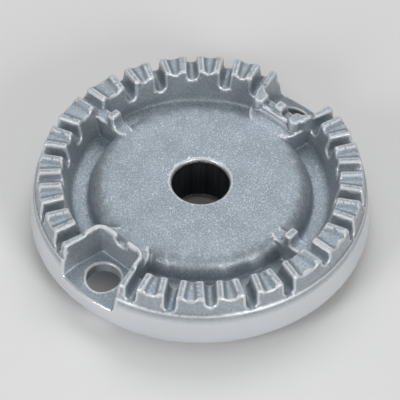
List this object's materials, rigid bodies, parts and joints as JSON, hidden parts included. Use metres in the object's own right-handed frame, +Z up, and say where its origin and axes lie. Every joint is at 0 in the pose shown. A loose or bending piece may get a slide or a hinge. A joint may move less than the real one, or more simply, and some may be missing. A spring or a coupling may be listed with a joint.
{
  "type": "gas hob burner",
  "caption": "Round cast burner head for a gas hob: toothed flame-port ring round a gas channel and deck, with a central throat and niches for the electrode and the thermocouple.",
  "frame": {"origin": "centre of the seating skirt's lower face, bottom centre of the bounding box", "axes": "+Z up along the gas throat towards the flame ports, -Y towards the electrode niche, +X towards a cap tower"},
  "size_m": [0.0764, 0.0764, 0.0165],
  "materials": {
    "casting": "shot-blasted casting with a smooth turned band"
  },
  "bodies": {
    "root": {"burner_head": "casting"}
  },
  "joints": []
}
